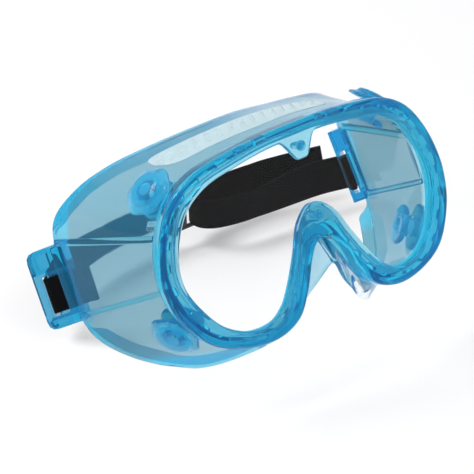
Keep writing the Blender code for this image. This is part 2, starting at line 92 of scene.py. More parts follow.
# Frosted strip on the brow wall: its reach to each side in stations, its middle as a share of the
# wall's depth, and its three rows of domes in millimetres
BROW_REACH = 2.7
BROW_SHARE = 0.5
BROW_HALF_WIDTH = 12.5
BROW_HEIGHT = 0.3
BROW_COLUMNS_PER_STATION = 30
BROW_ROWS = 48
DOME_PITCH = 5.8
DOME_ROW = 5.4
DOME_RADIUS = 1.15
DOME_HEIGHT = 0.8

# Web under the arch of the nose: (station, lower edge (x, y, z)), from one side to the middle
WEB_THICKNESS = 0.9
WEB_BEAD = 0.85
WEB_ROOT_DEPTH = 5.0
WEB_EDGE = (
    (13.3, (14.8, 10.5, -37.5)), (13.8, (12.0, 8.8, -33.8)), (14.3, (9.2, 6.0, -30.0)),
    (14.8, (6.6, 2.8, -26.4)), (15.2, (4.6, 0.2, -23.4)), (15.6, (2.4, -2.2, -20.4)), (16, (0, -3.2, -18.8)),
)

# Vents
VENTS = {"top": (3.85, 0.2), "bottom": (8.72, 0.2)}
VENT_FORWARD_LEAN = 0.08
VENT_HOLE_RADIUS = 5.0
CAP_RADIUS = 11.5
CAP_DOME_RADIUS = 8.2
CAP_STANDOFF = 3.6
CAD_WALL = 1.7
SEAT_RADIUS = 9.0
SEAT_BORE_RADIUS = 4.6
SEAT_THICKNESS = 3.0
SEAT_ROUND = 1.4
SEAT_SETBACK = 2.1

# Strap ears, measured along, up and out of each ear
EAR_ORIGIN = Vector((79.75, 83.85, -4.3))
EAR_ALONG = Vector((0.641, 0.754, -0.146))
EAR_UP = Vector((-0.025, 0.153, 0.988))
EAR_LENGTH = 15.5
EAR_FRONT = -3.5
EAR_TOP = 17.0
EAR_CORNER = 4.5
EAR_BOTTOM = -18.5
EAR_OUT = 0.6
EAR_IN = -6.3
SLOT_OUT = -1.7
SLOT_IN = -4.3
SLOT_TOP = 6.5
SLOT_BOTTOM = -14.5
WINDOW = (3.0, 11.8)
WINDOW_MARGIN = 1.4
CELL_ALONG = (5.4, 11.6)
CELL_OUT = (-1.6, 5.0)
CELL_HEIGHTS = ((8.4, 14.8), (-17.4, -15.0))
INNER_PLATE_END = 10.6

# Strap
STRAP_WIDTH = 16.0
STRAP_THICKNESS = 1.3
STRAP_RIBS = 11
STRAP_RIB_HEIGHT = 0.13
STRAP_IN_EAR_UP = -4.0
STRAP_IN_EAR_OUT = 0.5 * (SLOT_OUT + SLOT_IN)
STRAP_LEVEL = -49.5
STRAP_TWIST_LENGTH = 30.0
HEM_LENGTH = 6.0
HEM_THICKNESS = 3.0
HEM_AHEAD = 3.5
LEFT_ROUTE = (
    (67, 87.0), (51, 87.8), (34, 87.6), (24, 88.4), (13, 91.2), (7.2, 95.2), (5.2, 99.4), (5.6, 103.6),
    (8.4, 106.6), (13, 107.4), (20, 107.6), (31, 107.6), (45, 106.2), (58, 102.8), (70, 99.4), (79, 97.0),
)
RIGHT_ROUTE = (
    (-70, 95.2), (-63, 99.6), (-52, 103.0), (-39, 105.2), (-26, 106.6), (-14, 107.2), (-9.4, 107.0),
    (-6.6, 106.4), (-4.6, 105.8),
)
SLIDER_PLACE = (1.9, 103.6)
SLIDER_BAR_OFFSETS = (-7.2, 0.2, 7.6)

# Front rim and face edge of one half, from the top centre round to the nose:
# opening (x, z), rim outside (x, z), face edge (x, y, z)
HALF_OUTLINE = (
    ((0, 36.5), (0, 43.0), (0, 66, 43)),
    ((15, 36.3), (16, 42.6), (18, 69.5, 42)),
    ((30, 34.3), (33, 41.0), (34, 73, 40.2)),
    ((45, 31.0), (50, 37.6), (50, 76, 38)),
    ((56, 24.0), (62, 30.5), (66, 76.5, 34.3)),
    ((62.5, 14.0), (70, 19.0), (77, 83.5, 24.5)),
    ((66, 3.0), (74.5, 6.0), (79.5, 87, 11.5)),
    ((66, -7.0), (75.3, -6.0), (80.2, 84, -6)),
    ((62, -17.0), (72, -19.0), (80.5, 81, -20)),
    ((55, -27.0), (62.5, -32.8), (76, 76, -34)),
    ((45, -32.8), (49, -39.6), (64, 63, -46.5)),
    ((34, -33.4), (33.5, -41.4), (47, 46, -54)),
    ((26.5, -29.0), (21, -36.8), (27.5, 22, -48.8)),
    ((20.5, -20.5), (13.3, -26.3), (16.5, 12, -41)),
    ((14.5, -9.5), (8.2, -15.6), (10.5, 10.2, -25)),
    ((8.8, 2.0), (4.0, -9.4), (4.8, 10.2, -13)),
    ((0, 8.2), (0, -8.0), (0, 10.2, -10)),
)
LAST = len(HALF_OUTLINE) - 1
OPENING, OUTSIDE, FACE_EDGE = ([np.array(row[k], float) for row in HALF_OUTLINE] for k in range(3))
STEPS_PER_SPAN = 20


# ---------------------------------------------------------------- geometry helpers

def spline(before, start, end, after, f):
    """A point a fraction f of the way from start to end, on a smooth curve through all four."""
    return start + 0.5 * f * (
        end - before
        + f * (2 * before - 5 * start + 4 * end - after + f * (3 * (start - end) + after - before))
    )


def closed_curve(half, station):
    """A smooth closed curve through a mirrored half outline, at a station counted in points."""
    def point(index):
        index %= 2 * LAST
        if index <= LAST:
            return half[index]
        return half[2 * LAST - index] * np.array([-1.0] + [1.0] * (len(half[0]) - 1))

    base = math.floor(station)
    return spline(*(point(base + k) for k in (-1, 0, 1, 2)), station - base)


def smooth_path(points, step):
    """Points about a step apart on a smooth curve through the given ones."""
    ends = [2 * points[0] - points[1]] + list(points) + [2 * points[-1] - points[-2]]
    path = []
    for before, start, end, after in zip(ends, ends[1:], ends[2:], ends[3:]):
        count = max(1, round((end - start).length / step))
        path += [spline(before, start, end, after, k / count) for k in range(count)]
    return path + [points[-1]]


def bump(x, half_width):
    """1 in the middle, falling smoothly to 0 at half_width."""
    return 0.5 + 0.5 * math.cos(math.pi * min(abs(x) / half_width, 1.0))


def step_up(x, low, high):
    """0 below low, 1 above high, smooth between."""
    f = min(max((x - low) / (high - low), 0.0), 1.0)
    return f * f * (3 - 2 * f)


def on_lens(u, v, depth):
    """A point at arc length u and height v on the lens's front surface, depth behind it."""
    angle = u / LENS_BEND_RADIUS
    radius = LENS_BEND_RADIUS - depth
    return Vector((radius * math.sin(angle), LENS_BEND_RADIUS - radius * math.cos(angle), v))


class Place:
    """Everything that is the same for all points of the body's section at one station."""

    def __init__(self, station):
        self.station = station
        self.fold = station if station <= LAST else 2 * LAST - station
        self.edge = closed_curve(OPENING, station)
        away = closed_curve(OUTSIDE, station) - self.edge
        self.width = float(np.linalg.norm(away))
        self.unit = away / self.width
        self.face = Vector(closed_curve(FACE_EDGE, station))
        self.start = self.rim(SKIRT_START * self.width, RIM_DEPTH)
        self.back = (self.face - self.start).normalized()
        outward = Vector((self.unit[0], 0, self.unit[1]))
        self.normal = (outward - outward.dot(self.back) * self.back).normalized()

    def rim(self, out, depth):
        """A point on the rim, out millimetres outside the opening's edge and depth behind the lens."""
        spot = self.edge + self.unit * out
        return on_lens(spot[0], spot[1], depth)

    def skirt(self, share, inward=0.0):
        """A point on the skirt, share of the way from the rim to the face edge, inward of its surface."""
        return self.start.lerp(self.face, share) - self.normal * inward


def rounded(corners):
    """A closed section from (point, radius) corners, each corner cut by a short curve."""
    count = len(corners)
    points = []
    for i, (place, radius) in enumerate(corners):
        if radius <= 0:
            points.append(place)
            continue
        before = corners[i - 1][0] - place
        after = corners[(i + 1) % count][0] - place
        reach_in = min(radius, 0.45 * before.length)
        reach_out = min(radius, 0.45 * after.length)
        start = place + before.normalized() * reach_in
        end = place + after.normalized() * reach_out
        for f in (0.0, 0.33, 0.67, 1.0):
            points.append(start * (1 - f) ** 2 + place * (2 * f * (1 - f)) + end * f ** 2)
    return points


def mesh_piece(name, points, faces, sharp=40.0):
    """An object from points in the goggles' own frame, smooth but for edges over sharp degrees."""
    mesh = bpy.data.meshes.new(name)
    mesh.from_pydata([tuple(TO_TABLE @ Vector(p)) for p in points], [], faces)
    work = bmesh.new()
    work.from_mesh(mesh)
    bmesh.ops.recalc_face_normals(work, faces=work.faces)
    work.to_mesh(mesh)
    work.free()
    thing = bpy.data.objects.new(name, mesh)
    bpy.context.scene.collection.objects.link(thing)
    mesh.shade_smooth()
    mesh.set_sharp_from_angle(angle=math.radians(sharp))
    return thing


def swept(name, sections, closed=False, sharp=40.0):
    """A closed body from closed sections along a path: a ring, or a bar with filled ends."""
    count = len(sections[0])
    points = [p for section in sections for p in section]
    faces = []
    if not closed:
        faces = [tuple(range(count)), tuple(range(len(points) - count, len(points)))[::-1]]
    for i in range(len(sections) if closed else len(sections) - 1):
        j = (i + 1) % len(sections)
        for k in range(count):
            n = (k + 1) % count
            faces.append((i * count + k, j * count + k, j * count + n, i * count + n))
    return mesh_piece(name, points, faces, sharp)


def turned(name, profile, base, axis, steps=72, lobes=0, lobe_height=0.0, lobe_from=0.0, sharp=40.0):
    """A body turned round an axis from (radius, height) pairs; rings wider than lobe_from get lobes."""
    turn = axis.to_track_quat("Z", "Y").to_matrix()
    points = []
    rings = []
    for radius, height in profile:
        if radius == 0:
            rings.append([len(points)])
            points.append(base + turn @ Vector((0, 0, height)))
            continue
        rings.append(list(range(len(points), len(points) + steps)))
        for k in range(steps):
            angle = 2 * math.pi * k / steps
            reach = radius
            if lobes and radius > lobe_from:
                reach += lobe_height * (math.cos(lobes * angle) - 1) * (radius - lobe_from) / lobe_from
            points.append(base + turn @ Vector((reach * math.cos(angle), reach * math.sin(angle), height)))
    faces = []
    pairs = list(zip(rings, rings[1:]))
    if profile[0][0] != 0:
        pairs.append((rings[-1], rings[0]))
    for low, high in pairs:
        for k in range(steps):
            n = (k + 1) % steps
            if len(low) == 1:
                faces.append((low[0], high[k], high[n]))
            elif len(high) == 1:
                faces.append((low[k], low[n], high[0]))
            else:
                faces.append((low[k], low[n], high[n], high[k]))
    return mesh_piece(name, points, faces, sharp)


def joined(name, things):
    """One object from several that don't touch."""
    work = bmesh.new()
    for thing in things:
        work.from_mesh(thing.data)
        bpy.data.objects.remove(thing, do_unlink=True)
    mesh = bpy.data.meshes.new(name)
    work.to_mesh(mesh)
    work.free()
    whole = bpy.data.objects.new(name, mesh)
    bpy.context.scene.collection.objects.link(whole)
    return whole


def settle(thing, sharp=40.0):
    """Make an object's modifiers part of its mesh."""
    graph = bpy.context.evaluated_depsgraph_get()
    mesh = bpy.data.meshes.new_from_object(thing.evaluated_get(graph))
    thing.modifiers.clear()
    thing.data = mesh
    mesh.shade_smooth()
    mesh.set_sharp_from_angle(angle=math.radians(sharp))


def combine(target, tool, operation):
    """Cut a helper out of a target or join it on, then delete the helper."""
    modifier = target.modifiers.new(operation, "BOOLEAN")
    modifier.operation = operation
    modifier.solver = "EXACT"
    modifier.object = tool
    settle(target)
    bpy.data.objects.remove(tool, do_unlink=True)


def soften(thing, width, segments=3):
    """Round an object's edges by width millimetres."""
    modifier = thing.modifiers.new("rounded", "BEVEL")
    modifier.width = width * 0.001
    modifier.segments = segments
    modifier.limit_method = "ANGLE"
    settle(thing)


# ---------------------------------------------------------------- materials

def new_material(name):
    """A material, its nodes and links, its shader and its output."""
    material = bpy.data.materials.new(name)
    material.use_nodes = True
    nodes = material.node_tree.nodes
    return material, nodes, material.node_tree.links, nodes["Principled BSDF"], nodes["Material Output"]


def noise(nodes, links, scale, detail=3.0):
    """A noise texture over an object's own coordinates."""
    texture = nodes.new("ShaderNodeTexNoise")
    texture.inputs["Scale"].default_value = scale
    texture.inputs["Detail"].default_value = detail
    where = nodes.new("ShaderNodeTexCoord")
    links.new(where.outputs["Object"], texture.inputs["Vector"])
    return texture


def clear_plastic(name, tint, absorb, ior, roughness, ripple, shadow, haze=0.0, milk=(1, 1, 1)):
    """See-through plastic whose colour deepens with thickness, in red, green and blue per millimetre.

    A share of the light, haze, is scattered at the surface in the colour milk instead of going through.
    """
    material, nodes, links, shader, output = new_material(name)
    shader.inputs["Base Color"].default_value = (*tint, 1)
    shader.inputs["Transmission Weight"].default_value = 1.0
    shader.inputs["IOR"].default_value = ior
    shader.inputs["Roughness"].default_value = roughness
    if ripple:
        texture = noise(nodes, links, 90.0)
        relief = nodes.new("ShaderNodeBump")
        relief.inputs["Strength"].default_value = ripple
        relief.inputs["Distance"].default_value = 0.0004
        links.new(texture.outputs["Fac"], relief.inputs["Height"])
        links.new(relief.outputs["Normal"], shader.inputs["Normal"])
    body = shader.outputs["BSDF"]
    if haze:
        cloudy = nodes.new("ShaderNodeBsdfPrincipled")
        cloudy.inputs["Base Color"].default_value = (*milk, 1)
        cloudy.inputs["Roughness"].default_value = 0.45
        blend = nodes.new("ShaderNodeMixShader")
        blend.inputs["Fac"].default_value = haze
        links.new(body, blend.inputs[1])
        links.new(cloudy.outputs["BSDF"], blend.inputs[2])
        body = blend.outputs["Shader"]
    light_through = nodes.new("ShaderNodeBsdfTransparent")
    light_through.inputs["Color"].default_value = (*shadow, 1)
    path = nodes.new("ShaderNodeLightPath")
    mix = nodes.new("ShaderNodeMixShader")
    links.new(path.outputs["Is Shadow Ray"], mix.inputs["Fac"])
    links.new(body, mix.inputs[1])
    links.new(light_through.outputs["BSDF"], mix.inputs[2])
    links.new(mix.outputs["Shader"], output.inputs["Surface"])
    if max(absorb) > 0:
        density = max(absorb) * 1000 * 1.05
        volume = nodes.new("ShaderNodeVolumeAbsorption")
        volume.inputs["Density"].default_value = density
        volume.inputs["Color"].default_value = (*(1 - a * 1000 / density for a in absorb), 1)
        links.new(volume.outputs["Volume"], output.inputs["Volume"])
    return material


def math_node(nodes, links, operation, source, factor=None, added=None):
    """One number worked out from another: operation, then a constant factor and an added number."""
    node = nodes.new("ShaderNodeMath")
    node.operation = operation
    links.new(source, node.inputs[0])
    if factor is not None:
        node.inputs[1].default_value = factor
    if added:
        links.new(added, node.inputs[2])
    return node.outputs["Value"]


def upright_coordinates(nodes, links):
    """X, Y and Z in the goggles' own frame, in metres, with Y measured from the lens's bend axis."""
    where = nodes.new("ShaderNodeTexCoord")
    moved = nodes.new("ShaderNodeVectorMath")
    moved.operation = "SUBTRACT"
    moved.inputs[1].default_value = LENS_PLACE
    links.new(where.outputs["Object"], moved.inputs[0])
    leaned = nodes.new("ShaderNodeMapping")
    leaned.inputs["Rotation"].default_value = (REST_TILT, 0, 0)
    leaned.inputs["Location"].default_value = (0, -LENS_BEND_RADIUS / 1000, 0)
    links.new(moved.outputs["Vector"], leaned.inputs["Vector"])
    split = nodes.new("ShaderNodeSeparateXYZ")
    links.new(leaned.outputs["Vector"], split.inputs["Vector"])
    return (split.outputs[axis] for axis in ("X", "Y", "Z"))


def zoned_tint(material, skirt, rim, edge, ear):
    """Tints a clear plastic by place: the skirt, the rim in front of it, the face edge and the strap ears.
    The skirt's neutral grey is painted shade: it darkens the thin wall where the goggles' own shade falls,
    since the blue pieces cast none.
    """
    nodes, links = material.node_tree.nodes, material.node_tree.links
    x, y, z = upright_coordinates(nodes, links)
    flat = nodes.new("ShaderNodeCombineXYZ")
    links.new(x, flat.inputs["X"])
    links.new(y, flat.inputs["Y"])
    from_axis = nodes.new("ShaderNodeVectorMath")
    from_axis.operation = "LENGTH"
    links.new(flat.outputs["Vector"], from_axis.inputs[0])
    aside = math_node(nodes, links, "ABSOLUTE", x)
    below = math_node(nodes, links, "MULTIPLY", z, -1.0)
    behind = math_node(nodes, links, "MULTIPLY_ADD", aside, -FACE_EDGE_SWEEP, y)
    rim_back = LENS_BEND_RADIUS - RIM_DEPTH
    edge_back = FACE_EDGE_BACK - LENS_BEND_RADIUS
    # Start from the skirt's tint, a neutral grey of painted shade; the zones below replace it where they
    # begin
    colour = nodes.new("ShaderNodeRGB")
    colour.outputs["Color"].default_value = (*skirt, 1)
    for source, low, high, tint in (
        (from_axis.outputs["Value"], rim_back - 3.0, rim_back - 0.5, rim),
        (below, FACE_EDGE_DROP - 4.0, FACE_EDGE_DROP, edge),
        (behind, edge_back - 1.5, edge_back, edge),
        (aside, EAR_ORIGIN.x - 2.0, EAR_ORIGIN.x - 0.5, ear),
    ):
        share = nodes.new("ShaderNodeMapRange")
        share.inputs["From Min"].default_value = low / 1000
        share.inputs["From Max"].default_value = high / 1000
        links.new(source, share.inputs["Value"])
        mix = nodes.new("ShaderNodeMixRGB")
        mix.inputs["Color2"].default_value = (*tint, 1)
        links.new(share.outputs["Result"], mix.inputs["Fac"])
        links.new(colour.outputs["Color"], mix.inputs["Color1"])
        colour = mix
    links.new(colour.outputs["Color"], nodes["Principled BSDF"].inputs["Base Color"])


def woven_elastic():
    """Black woven elastic: ribs come from the mesh, and the weave across them from here."""
    material, nodes, links, shader, _ = new_material("black_elastic_weave")
    place = nodes.new("ShaderNodeUVMap")
    place.uv_map = "along"
    wave = nodes.new("ShaderNodeTexWave")
    wave.bands_direction = "X"
    wave.inputs["Scale"].default_value = 420.0
    wave.inputs["Distortion"].default_value = 1.2
    links.new(place.outputs["UV"], wave.inputs["Vector"])
    fuzz = noise(nodes, links, 900.0, 4.0)
    height = nodes.new("ShaderNodeMath")
    height.operation = "ADD"
    links.new(wave.outputs["Fac"], height.inputs[0])
    links.new(fuzz.outputs["Fac"], height.inputs[1])
    relief = nodes.new("ShaderNodeBump")
    relief.inputs["Strength"].default_value = 0.5
    relief.inputs["Distance"].default_value = 0.0002
    links.new(height.outputs["Value"], relief.inputs["Height"])
    links.new(relief.outputs["Normal"], shader.inputs["Normal"])
    colour = nodes.new("ShaderNodeValToRGB")
    colour.color_ramp.elements[0].color = (0.0004, 0.0005, 0.0007, 1)
    colour.color_ramp.elements[1].color = (0.003, 0.0036, 0.005, 1)
    links.new(fuzz.outputs["Fac"], colour.inputs["Fac"])
    links.new(colour.outputs["Color"], shader.inputs["Base Color"])
    shader.inputs["Roughness"].default_value = 0.85
    shader.inputs["Specular IOR Level"].default_value = 0.06
    shader.inputs["Sheen Weight"].default_value = 0.04
    return material


def black_nylon():
    """Satin black moulded nylon with a fine grain."""
    material, nodes, links, shader, _ = new_material("black_nylon_moulded")
    grain = noise(nodes, links, 1500.0)
    relief = nodes.new("ShaderNodeBump")
    relief.inputs["Strength"].default_value = 0.15
    relief.inputs["Distance"].default_value = 0.0001
    links.new(grain.outputs["Fac"], relief.inputs["Height"])
    links.new(relief.outputs["Normal"], shader.inputs["Normal"])
    shader.inputs["Base Color"].default_value = (0.012, 0.012, 0.014, 1)
    shader.inputs["Roughness"].default_value = 0.38
    return material


PVC = clear_plastic(
    "blue_pvc_clear", tint=(0.80, 0.72, 0.70), absorb=(0.36, 0.035, 0.006), ior=1.27, roughness=0.06,
    ripple=0.1, shadow=(0.95, 0.95, 0.95), haze=0.16, milk=(0.01, 0.40, 0.74))
# The skirt's grey is painted shade on the same plastic as the nearly clear rim
zoned_tint(
    PVC, skirt=(0.54, 0.54, 0.54), rim=(0.92, 0.88, 0.90), edge=(0.36, 0.74, 0.86), ear=(0.30, 0.50, 0.66))
CAP_PLASTIC = clear_plastic(
    "blue_cap_plastic", tint=(0.84, 0.86, 0.88), absorb=(0.5, 0.07, 0.02), ior=1.32, roughness=0.08,
    ripple=0.08, shadow=(0.95, 0.95, 0.95), haze=0.24, milk=(0.02, 0.5, 0.85))
FROSTED = clear_plastic(
    "frosted_brow_panel", tint=(0.9, 0.93, 0.93), absorb=(0.05, 0.02, 0.01), ior=1.2, roughness=0.25,
    ripple=0.0, shadow=(0.95, 0.95, 0.95), haze=0.36, milk=(0.68, 0.82, 0.85))
LENS_CLEAR = clear_plastic(
    "lens_polycarbonate", tint=(1, 1, 1), absorb=(0.0, 0.0, 0.0), ior=1.2, roughness=0.0,
    ripple=0.0, shadow=(0.5, 0.5, 0.51))
ELASTIC = woven_elastic()
NYLON = black_nylon()


# ---------------------------------------------------------------- mask

def pocketed(distance):
    """1 in the pockets moulded into the groove, 0 on the teeth between them."""
    return 1.0 if distance % POCKET_PITCH < POCKET_LENGTH else 0.0


def station_list():
    """Evenly spaced stations round the loop, and the distance gone along the opening at each."""
    regular = np.linspace(0, 2 * LAST, 2 * LAST * STEPS_PER_SPAN, endpoint=False)
    edges = np.array([closed_curve(OPENING, s) for s in regular])
    gone = np.concatenate([[0], np.cumsum(np.linalg.norm(np.diff(edges, axis=0), axis=1))])
    return regular, gone


def sag(place, share):
    """How far the soft wall hangs below its moulded shape on the wearer's left, where it isn't held up."""
    side = bump(place.face.x - 42, 34) * 0.8 - bump(place.face.x + 42, 30) * 0.5
    return side * step_up(share, 0.1, 1.0) if place.fold < 6 else 0.0


def skirt_ripple(place, share):
    """How far the soft wall bows in or out of its straight line."""
    corner = bump(place.fold - 4.6, 1.1) * math.sin(5.2 * (place.fold - 4.6) + 2.0 * share)
    low = bump(place.fold - 10.4, 1.6) * math.sin(3.1 * (place.fold - 10.4) - 1.5 * share)
    return (0.9 * corner + 0.7 * low) * step_up(share, 0.3, 0.8) * bump(share - 0.75, 0.4)


def skirt_surface(place, share, lift=0.0):
    """A point on the skirt as it hangs, lifted off its outer surface."""
    hanging = Vector((0, 0, -1)) * sag(place, share)
    return place.skirt(share, -lift - skirt_ripple(place, share)) + hanging


def mask_section(place, distance):
    """The body's closed section: front lip, lens groove, rim, thin skirt wall and face flange."""
    width = place.width
    x = place.edge[0]
    near_nose = place.fold > LAST - 2
    from_tip = max(abs(x) - TAB_TIP_HALF_WIDTH, 0)
    drop = TAB_DROP * bump(from_tip, TAB_HALF_WIDTH - TAB_TIP_HALF_WIDTH) if place.fold < 2 else 0
    groove = GROOVE_DEPTH
    if near_nose:
        groove += NOSE_GROOVE_EXTRA * bump(x, 2 * NOSE_GROOVE_HALF_WIDTH)
    elif place.fold > 0.8:
        groove = min(groove + POCKET_DEPTH * pocketed(distance), width - 1.4)
    lens_front, lens_back = -GROOVE_PLAY, LENS_THICKNESS + GROOVE_PLAY
    flange = FACE_FLANGE * (1 - step_up(bump(place.fold - 7.0, 2.7), 0.12, 0.5)) + FACE_LIP
    flange *= 1 - 0.9 * step_up(place.fold, 11.8, 13.2)
    edge, normal, back = place.face, place.normal, place.back
    inner_start = SKIRT_START * width - WALL - 0.2
    corners = [
        (place.rim(0.15 - drop, lens_front), 0.1),
        (place.rim(0.0 - drop, -1.4), 0.5),
        (place.rim(0.9 - drop, LIP_FRONT), 0.8),
        (place.rim(0.62 * width, LIP_FRONT + 0.25), 0.5),
        (place.rim(width - 1.3, LIP_FRONT - 0.1), 0.9),
        (place.rim(width, -0.9), 1.2),
        (place.rim(width, RIM_DEPTH - 1.0), 0.8),
        (place.rim(width - 0.9, RIM_DEPTH), 0.5),
        (place.skirt(0.0), 0.9),
    ]
    corners += [(skirt_surface(place, share), 0) for share in SKIRT_SHARES]
    edge = edge - Vector((0, 0, sag(place, 1.0)))
    corners += [
        (edge - back * 0.2, 0.5),
        (edge - normal * 0.9 + back * 0.6, 0.6),
        (edge - normal * (flange + 0.8) + back * 0.9, 0.6),
        (edge - normal * (flange + 1.0) - back * 0.9, 0.6),
        (edge - normal * WALL - back * (1.2 + WALL), 1.2),
    ]
    corners += [(skirt_surface(place, share, -WALL), 0) for share in SKIRT_SHARES[:-1][::-1]]
    corners += [
        (place.rim(inner_start, RIM_DEPTH), 0.8),
        (place.rim(inner_start - 0.3, 4.9), 0.4),
        (place.rim(0.9, 4.5), 0.5),
        (place.rim(0.8, lens_back), 0.2),
        (place.rim(groove, lens_back), 0.0),
        (place.rim(groove, lens_front), 0.0),
    ]
    return rounded(corners)


def ear_frame(side):
    """An ear's origin and its along, up and out directions, on the left (1) or right (-1)."""
    flip = Vector((side, 1, 1))
    out = EAR_ALONG.cross(EAR_UP).normalized() * flip
    return EAR_ORIGIN * flip, (EAR_ALONG * flip).normalized(), (EAR_UP * flip).normalized(), out


def ear_point(side, along, up, out):
    """A point given along, up and out of an ear."""
    origin, a, h, n = ear_frame(side)
    return origin + a * along + h * up + n * out


def ear_box(name, side, along, up, out):
    """A box in an ear's own directions, from (low, high) pairs."""
    sections = []
    for a in along:
        corners = ((up[0], out[0]), (up[1], out[0]), (up[1], out[1]), (up[0], out[1]))
        sections.append([ear_point(side, a, h, n) for h, n in corners])
    return swept(name, sections)


def make_ear(side):
    """A strap ear: a sleeve with a window, two shallow cells and a rounded rear bar."""
    sections = []
    for out in (EAR_IN, EAR_OUT):
        corners = (
            (EAR_FRONT, EAR_BOTTOM, 0.6), (EAR_LENGTH, EAR_BOTTOM, EAR_CORNER),
            (EAR_LENGTH, EAR_TOP, EAR_CORNER), (EAR_FRONT, EAR_TOP, 0.6),
        )
        sections.append(rounded([(ear_point(side, along, up, out), radius) for along, up, radius in corners]))
    ear = swept("ear", sections)
    soften(ear, 1.1, 4)
    window_up = (SLOT_BOTTOM + WINDOW_MARGIN, SLOT_TOP - WINDOW_MARGIN)
    tools = [
        ear_box("slot", side, (-9, 25), (SLOT_BOTTOM, SLOT_TOP), (SLOT_IN, SLOT_OUT)),
        ear_box("turn", side, (INNER_PLATE_END, 25), (SLOT_BOTTOM, SLOT_TOP), (-12, SLOT_IN + 1)),
        ear_box("window", side, WINDOW, window_up, (SLOT_OUT - 1, 5)),
    ]
    tools += [ear_box("cell", side, CELL_ALONG, up, CELL_OUT) for up in CELL_HEIGHTS]
    for tool in tools:
        combine(ear, tool, "DIFFERENCE")
    return ear


def make_rib(name, points, out, width, high, low):
    """A raised rib along points of the skirt's surface, with a rounded crest."""
    sections = []
    for i, place in enumerate(points):
        along = (points[min(i + 1, len(points) - 1)] - points[max(i - 1, 0)]).normalized()
        across = along.cross(out).normalized() * width / 2
        sections.append([
            place + across + out * low,
            place + across + out * (high - 0.35),
            place + across * 0.6 + out * high,
            place - across * 0.6 + out * high,
            place - across + out * (high - 0.35),
            place - across + out * low,
        ])
    return swept(name, sections)


def mirror_point(side, place):
    """A point of the left half, or its mirror on the right when side is -1."""
    return Vector((side * place.x, place.y, place.z))


def skirt_spot(side, station, share):
    """A point on the skirt on one side, from its station and its share of the way back."""
    return mirror_point(side, Place(station).skirt(share))


def panel_pieces(side):
    """Ribs round the temple panel, the ridge where the ear starts, and the block behind the rim."""
    out = mirror_point(side, Place(6.6).normal)
    corners = {
        "top_front": skirt_spot(side, 5.25, 0.03),
        "top_back": skirt_spot(side, 5.86, 0.96),
        "low_front": skirt_spot(side, 7.15, 0.03),
        "low_back": skirt_spot(side, 8.0, 0.96),
    }
    ridge = ear_box("ridge", side, (-1.2, 2.2), (EAR_BOTTOM + 0.8, EAR_TOP - 0.8), (SLOT_OUT + 0.6, 2.4))
    soften(ridge, 0.9, 3)
    block = []
    for station in (4.72, 5.02):
        place = Place(station)
        block.append([mirror_point(side, p) for p in (
            place.skirt(0.0, 0.8), place.skirt(0.11, 0.8), place.skirt(0.11, -1.4),
            place.rim(place.width - 0.7, RIM_DEPTH + 0.2), place.rim(place.width - 0.7, RIM_DEPTH - 1.5),
            place.rim(0.6 * place.width, RIM_DEPTH - 1.5),
        )])
    block = swept("block", block)
    soften(block, 0.6, 2)
    return [
        make_rib("rib_top", [corners["top_front"], corners["top_back"]], out, 3.0, 1.9, -0.8),
        make_rib("rib_low", [corners["low_front"], corners["low_back"]], out, 2.2, 1.5, -0.8),
        make_rib("rib_front", [corners["top_front"], corners["low_front"]], out, 1.1, 1.2, -0.8),
        ridge,
        block,
    ]


def vent_place(name, side):
    """A vent's centre on the skirt's outer surface, and its axis pointing out."""
    station, share = VENTS[name]
    place = Place(station)
    axis = place.normal - Vector((0, VENT_FORWARD_LEAN, 0))
    return mirror_point(side, place.skirt(share)), mirror_point(side, axis).normalized()


def peg_holes():
    """Cutters for the two rivet holes, through the rim and the lens."""
    return [turned("hole", PEG_HOLE, Vector((0, 0, height)), Vector((0, 1, 0)), 24)
            for height in (PEG_TOP_HEIGHT, PEG_NOSE_HEIGHT)]


def make_mask():
    """The one-piece soft body."""
    stations, gone = station_list()
    sections = [mask_section(Place(s), d) for s, d in zip(stations, gone)]
    mask = swept("mask_body", sections, closed=True)
    for side in (1, -1):
        for tool in [make_ear(side)] + panel_pieces(side):
            combine(mask, tool, "UNION")
    holes = []
    for side in (1, -1):
        for name in VENTS:
            base, axis = vent_place(name, side)
            holes.append(turned("hole", ((0, -14), (VENT_HOLE_RADIUS, -14), (VENT_HOLE_RADIUS, 14), (0, 14)),
                                base, axis, 48))
    combine(mask, joined("holes", holes + peg_holes()), "DIFFERENCE")
    for vertex in mask.data.vertices:
        vertex.co.z = max(vertex.co.z, 0.0001)
    return mask


def make_brow_panel():
    """The frosted strip that lies on the brow wall, with three staggered rows of small domes."""
    columns = round(2 * BROW_REACH * BROW_COLUMNS_PER_STATION)
    sections = []
    gone = 0.0
    last = None
    for i in range(columns + 1):
        t = 2 * i / columns - 1
        place = Place((t * BROW_REACH) % (2 * LAST))
        middle = skirt_surface(place, BROW_SHARE)
        if last:
            gone += (middle - last).length
        last = middle
        depth = (place.face - place.start).length
        half_width = BROW_HALF_WIDTH * max(1 - abs(t) ** 14, 0.02) ** 0.5
        top, under = [], []
        for k in range(BROW_ROWS + 1):
            v = 2 * k / BROW_ROWS - 1
            across = v * half_width
            lift = 0.15 + BROW_HEIGHT * (1 - abs(v) ** 16) * (1 - abs(t) ** 60)
            for row in (-1, 0, 1):
                along = (gone + (DOME_PITCH / 2 if row else 0)) % DOME_PITCH - DOME_PITCH / 2
                away = math.hypot(along, across - row * DOME_ROW)
                if away < DOME_RADIUS:
                    lift += DOME_HEIGHT * math.sqrt(1 - (away / DOME_RADIUS) ** 2)
            share = BROW_SHARE + across / depth
            top.append(skirt_surface(place, share, lift))
            under.append(skirt_surface(place, share, 0.06))
        sections.append(top + under[::-1])
    return swept("brow_panel", sections, sharp=60.0)


